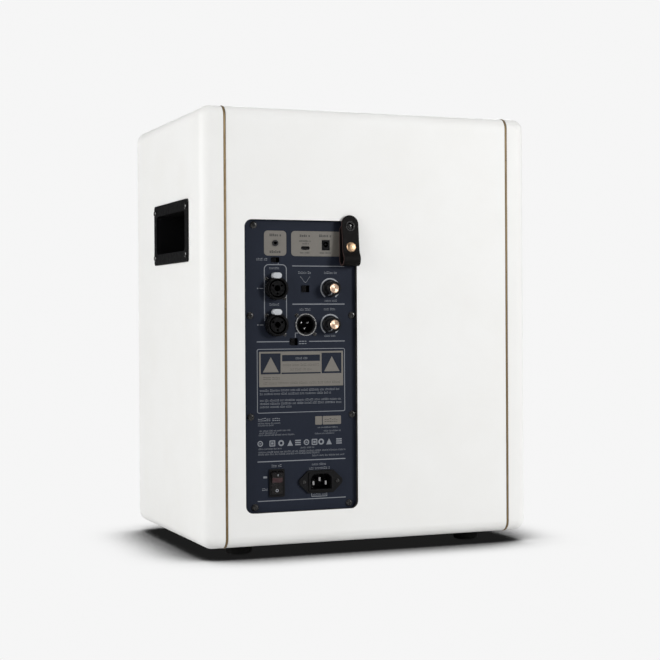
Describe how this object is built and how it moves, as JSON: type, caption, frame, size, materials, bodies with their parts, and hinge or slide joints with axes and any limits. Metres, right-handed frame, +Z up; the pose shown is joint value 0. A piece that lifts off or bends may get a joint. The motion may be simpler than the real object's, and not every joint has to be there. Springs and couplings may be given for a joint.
{
  "type": "powered speaker cabinet",
  "caption": "White covered speaker cabinet seen with its rear control panel: knobs, sockets, switches, mains inlet, side hand grips, rubber feet and a cable strap.",
  "frame": {"origin": "on the floor, at the middle of the whole object's width and depth", "axes": "+Z up, -Y out of the front grille, +Y out of the rear control panel, +X towards the panel's side of the cabinet"},
  "size_m": [0.3848, 0.2806, 0.4726],
  "materials": {
    "white_covering": "fine-grained white covering, low sheen",
    "gold_piping": "round golden brown bead",
    "black_plywood": "plywood, black stain",
    "wadding": "loose polyester wadding",
    "grille_fabric": "open woven speaker cloth",
    "black_plastic": "fine-textured moulding",
    "black_steel": "satin black",
    "ferrite": "sintered ferrite",
    "zinc_steel": "zinc plated",
    "cone_paper": "pressed pulp, coated black",
    "copper_wire": "enamelled copper",
    "surround_rubber": "matt rubber",
    "spider_cloth": "resin-dipped woven cotton",
    "foot_rubber": "matt rubber",
    "panel_paint": "fine-textured dark blue powder coat",
    "circuit_board": "solder resist",
    "connector_metal": "satin nickel plate",
    "latch_plastic": "silver white",
    "knob_plastic": "black moulding",
    "copper_cap": "turned, lacquered",
    "rocker_plastic": "black with a dark red window",
    "strap_leather": "black grained leather",
    "snap_brass": "antique finish"
  },
  "bodies": {
    "cabinet": {"cabinet_box": "white_covering", "cheek_right": "white_covering", "cheek_left": "white_covering", "edge_piping": "gold_piping", "front_baffle": "black_plywood", "damping_pad": "wadding", "port_tubes": "black_plastic", "woofer_basket": "black_steel", "woofer_magnet": "ferrite", "woofer_pole_piece": "zinc_steel", "woofer_surround": "surround_rubber", "woofer_spider": "spider_cloth", "horn_flare": "black_plastic", "compression_driver": "black_steel", "driver_screws": "black_steel", "handle_cup_right": "black_plastic", "handle_cup_left": "black_plastic", "handle_screws": "black_steel", "rubber_feet": "foot_rubber", "foot_screws": "zinc_steel", "amp_panel": "panel_paint", "panel_screws": "black_steel", "amp_chassis": "zinc_steel", "amp_board": "circuit_board", "power_transformer": "copper_wire", "combo_jack_upper": "black_plastic", "combo_jack_lower": "black_plastic", "xlr_output": "connector_metal", "contact_pins": "connector_metal", "connector_screws": "black_steel", "volume_pot": "zinc_steel", "line_pot": "zinc_steel", "slide_switch_bodies": "black_plastic", "mini_jack": "connector_metal", "usb_c_port": "connector_metal", "dc_jack": "black_plastic", "power_switch_bezel": "black_plastic", "iec_inlet": "black_plastic", "strap_base": "strap_leather", "snap_stud": "snap_brass"},
    "grille": {"grille_frame": "black_plywood", "grille_cloth": "grille_fabric", "grille_pegs": "black_plastic"},
    "cone": {"woofer_cone": "cone_paper", "woofer_dust_cap": "cone_paper", "voice_coil": "copper_wire"},
    "volume_knob": {"volume_knob": "knob_plastic", "volume_knob_cap": "copper_cap"},
    "line_knob": {"line_knob": "knob_plastic", "line_knob_cap": "copper_cap"},
    "rocker": {"power_rocker": "rocker_plastic"},
    "mode_slider": {"mode_slider": "black_plastic"},
    "contour_slider": {"contour_slider": "black_plastic"},
    "lift_slider": {"lift_slider": "black_plastic"},
    "upper_latch": {"combo_latch_upper": "latch_plastic"},
    "lower_latch": {"combo_latch_lower": "latch_plastic"},
    "strap_flap": {"strap_flap": "strap_leather", "strap_eyelet": "black_steel", "snap_cap": "snap_brass"}
  },
  "joints": [
    {"name": "grille_pull", "type": "slide", "parent": "cabinet", "child": "grille", "axis": [0, -1, 0], "range_m": [0, 0.03]},
    {"name": "cone_stroke", "type": "slide", "parent": "cabinet", "child": "cone", "axis": [0, -1, 0], "range_m": [-0.005, 0.005], "stiffness_N_per_m": 1800, "deforming": ["woofer_surround", "woofer_spider"]},
    {"name": "volume_turn", "type": "hinge", "parent": "cabinet", "child": "volume_knob", "pos_m": [0.0457, 0.12575, 0.2822], "axis": [0, -1, 0], "range_deg": [0, 300]},
    {"name": "line_turn", "type": "hinge", "parent": "cabinet", "child": "line_knob", "pos_m": [0.0457, 0.12575, 0.244], "axis": [0, -1, 0], "range_deg": [0, 300]},
    {"name": "rocker_tilt", "type": "hinge", "parent": "cabinet", "child": "rocker", "pos_m": [0.1075, 0.12475, 0.078], "axis": [1, 0, 0], "range_deg": [0, 20]},
    {"name": "mode_slide", "type": "slide", "parent": "cabinet", "child": "mode_slider", "axis": [-1, 0, 0], "range_m": [0, 0.0038]},
    {"name": "contour_slide", "type": "slide", "parent": "cabinet", "child": "contour_slider", "axis": [-1, 0, 0], "range_m": [0, 0.0038]},
    {"name": "lift_slide", "type": "slide", "parent": "cabinet", "child": "lift_slider", "axis": [-1, 0, 0], "range_m": [0, 0.0038]},
    {"name": "upper_latch_press", "type": "slide", "parent": "cabinet", "child": "upper_latch", "axis": [0, -1, 0], "range_m": [0, 0.002], "stiffness_N_per_m": 800},
    {"name": "lower_latch_press", "type": "slide", "parent": "cabinet", "child": "lower_latch", "axis": [0, -1, 0], "range_m": [0, 0.002], "stiffness_N_per_m": 800},
    {"name": "strap_open", "type": "hinge", "parent": "cabinet", "child": "strap_flap", "pos_m": [0.0255, 0.1331, 0.30695], "axis": [-1, 0, 0], "range_deg": [0, 125]}
  ]
}
